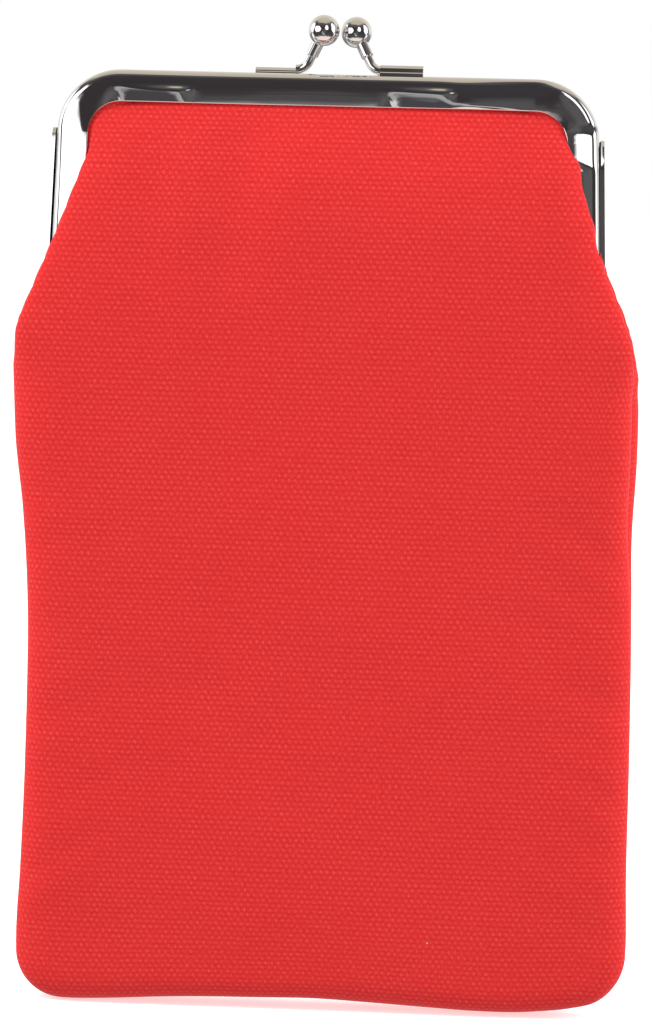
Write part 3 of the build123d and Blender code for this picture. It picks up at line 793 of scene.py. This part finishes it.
def room_colour(tree):
    """Colour of the studio in every direction, as polished metal sees it."""
    direction = tree.nodes.new("ShaderNodeTexCoord").outputs["Generated"]
    split = tree.nodes.new("ShaderNodeSeparateXYZ")
    tree.links.new(direction, split.inputs[0])
    ahead = math_node(tree, "MULTIPLY", split.outputs["Y"], -1.0)
    azimuth = math_node(tree, "DEGREES", math_node(tree, "ARCTAN2", split.outputs["X"], ahead))
    elevation = math_node(tree, "DEGREES", math_node(tree, "ARCSINE", split.outputs["Z"]))
    for scale, reach in ((4.0, 9.0), (22.0, 3.0)):
        for k, angle in enumerate(("azimuth", "elevation")):
            shifted = tree.nodes.new("ShaderNodeVectorMath")
            shifted.inputs[1].default_value = (3.1 * k, 1.7, 0.4 * scale)
            tree.links.new(direction, shifted.inputs[0])
            wobble = noise_node(tree, shifted.outputs[0], scale, 2.0)
            wobble = math_node(tree, "MULTIPLY", math_node(tree, "SUBTRACT", wobble, 0.5), 2 * reach)
            if angle == "azimuth":
                azimuth = math_node(tree, "ADD", azimuth, wobble)
            else:
                elevation = math_node(tree, "ADD", elevation, wobble)
    colour = banded(tree, elevation, ROOM_BANDS)
    behind = map_range(tree, math_node(tree, "ABSOLUTE", azimuth), 98.0, 116.0)
    colour = colour_mix(tree, behind, colour, banded(tree, elevation, BACK_BANDS))
    for at, up, half_width, half_height, softness, card in ROOM_CARDS:
        across = math_node(tree, "DIVIDE", math_node(tree, "SUBTRACT", azimuth, at), half_width)
        above = math_node(tree, "DIVIDE", math_node(tree, "SUBTRACT", elevation, up), half_height)
        squares = math_node(tree, "MULTIPLY_ADD", above, above, math_node(tree, "MULTIPLY", across, across))
        inside = map_range(tree, math_node(tree, "SQRT", squares), 1.0 - softness, 1.0 + softness, 1.0, 0.0)
        colour = colour_mix(tree, inside, colour, card + (1,))
    return colour


AMBIENT = 0.845  # brightness of the light that falls on cloth from all round


def make_world():
    """White to the camera, soft ambient light for cloth, and the studio room for polished metal."""
    world = bpy.data.worlds.new("studio")
    bpy.context.scene.world = world
    world.use_nodes = True
    tree = world.node_tree
    tree.nodes.clear()
    rays = tree.nodes.new("ShaderNodeLightPath")
    colour = colour_mix(tree, rays.outputs["Is Camera Ray"], (AMBIENT,) * 3 + (1,), (1.0, 1.0, 1.0, 1))
    colour = colour_mix(tree, rays.outputs["Is Glossy Ray"], colour, room_colour(tree))
    background = tree.nodes.new("ShaderNodeBackground")
    tree.links.new(colour, background.inputs["Color"])
    output = tree.nodes.new("ShaderNodeOutputWorld")
    tree.links.new(background.outputs[0], output.inputs["Surface"])


VIEW_AZIMUTH = 4.0
VIEW_ELEVATION = 5.0
VIEW_ROLL = 1.4
VIEW_DISTANCE = 900.0
VIEW_HEIGHT = 192.2  # height of the picture at the purse
VIEW_CENTRE = (1.3, 0.0, 93.8)


def make_camera():
    data = bpy.data.cameras.new("camera")
    data.sensor_fit = "VERTICAL"
    data.sensor_height = 36.0
    data.sensor_width = 36.0
    data.lens = data.sensor_height * VIEW_DISTANCE / VIEW_HEIGHT
    camera = bpy.data.objects.new("camera", data)
    azimuth, elevation = math.radians(VIEW_AZIMUTH), math.radians(VIEW_ELEVATION)
    level = math.cos(elevation)
    back = Vector((math.sin(azimuth) * level, -math.cos(azimuth) * level, math.sin(elevation)))
    camera.location = (Vector(VIEW_CENTRE) + back * VIEW_DISTANCE) * MM
    turn = back.to_track_quat("Z", "Y").to_matrix().to_4x4()
    camera.rotation_euler = (turn @ Matrix.Rotation(math.radians(VIEW_ROLL), 4, "Z")).to_euler()
    bpy.context.scene.collection.objects.link(camera)
    bpy.context.scene.camera = camera


LIT_POINT = (0, 0, 0.09)  # in metres, the middle of the purse

make_camera()
make_world()
make_stage()
area_light("key", (-0.75, -0.75, 1.35), LIT_POINT, 0.6, 13.5, (1.0, 0.985, 0.96))
area_light("fill", (0.9, -0.8, 0.7), LIT_POINT, 0.9, 2.0)
area_light("left_side", (-1.1, 0.15, 0.4), LIT_POINT, 0.7, 5.0)
area_light("right_side", (1.1, 0.15, 0.4), LIT_POINT, 0.7, 9.0)
area_light("back", (0.1, 1.1, 0.9), LIT_POINT, 0.9, 3.0)
bpy.context.scene.view_settings.view_transform = "Standard"
dress_cad_nodes()
make_cloth()
make_threads()
